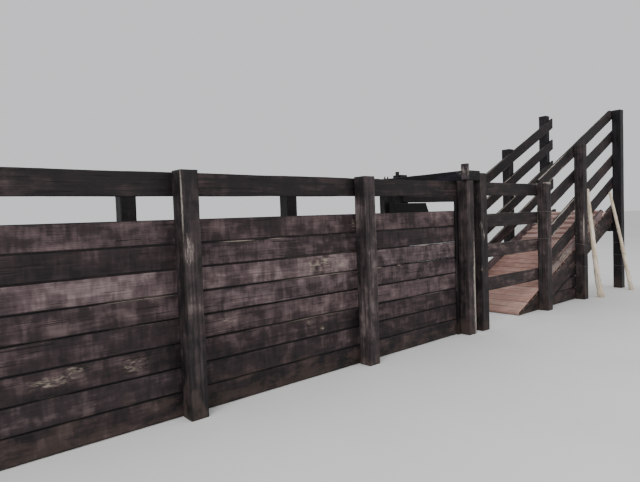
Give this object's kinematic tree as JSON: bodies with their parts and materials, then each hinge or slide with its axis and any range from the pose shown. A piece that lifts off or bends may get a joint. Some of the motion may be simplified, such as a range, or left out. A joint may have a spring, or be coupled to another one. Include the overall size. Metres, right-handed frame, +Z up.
{
  "type": "timber cattle race with loading ramp",
  "caption": "Timber cattle race with close-boarded sides and a top rail, gate posts under a cross beam, and a railed ramp up to a raised loading end.",
  "frame": {"origin": "middle of the whole footprint, at ground level", "axes": "+X along the race towards the high end of the ramp, +Y across the race away from the near row of posts, +Z up"},
  "size_m": [10.75, 1.67, 3.374],
  "materials": {
    "stained_timber": "sawn softwood, dark stained and weathered, matt",
    "weathered_boards": "sawn boards, stain worn to grey and pink brown, matt",
    "worn_deck": "trodden planks, rubbed and muddy, matt",
    "raw_pole": "peeled round pole, bleached, matt"
  },
  "bodies": {
    "root": {"near_post_0": "stained_timber", "near_post_1": "stained_timber", "near_post_2": "stained_timber", "near_post_3": "stained_timber", "near_post_4": "stained_timber", "near_post_5": "stained_timber", "near_post_6": "stained_timber", "near_post_7": "stained_timber", "far_post_0": "stained_timber", "far_post_1": "stained_timber", "far_post_2": "stained_timber", "far_post_3": "stained_timber", "far_post_4": "stained_timber", "far_post_5": "stained_timber", "far_post_6": "stained_timber", "far_post_7": "stained_timber", "near_top_rail": "stained_timber", "far_top_rail": "stained_timber", "near_level_rails": "stained_timber", "far_level_rails": "stained_timber", "far_gate_tie": "stained_timber", "near_slope_rails": "stained_timber", "far_slope_rails": "stained_timber", "near_stringer": "stained_timber", "middle_stringer": "stained_timber", "far_stringer": "stained_timber", "bearers": "stained_timber", "gate_battens": "stained_timber", "near_side_boards": "stained_timber", "far_side_boards": "stained_timber", "cross_beam": "stained_timber", "near_boards_1": "weathered_boards", "near_boards_2": "weathered_boards", "near_boards_3": "weathered_boards", "far_boards_1": "weathered_boards", "far_boards_2": "weathered_boards", "far_boards_3": "weathered_boards", "near_kerb": "weathered_boards", "far_kerb": "weathered_boards", "stop_block": "weathered_boards", "lower_deck": "worn_deck", "upper_deck": "worn_deck", "cleats": "worn_deck", "stout_prop": "raw_pole", "thin_prop": "raw_pole"}
  },
  "joints": []
}
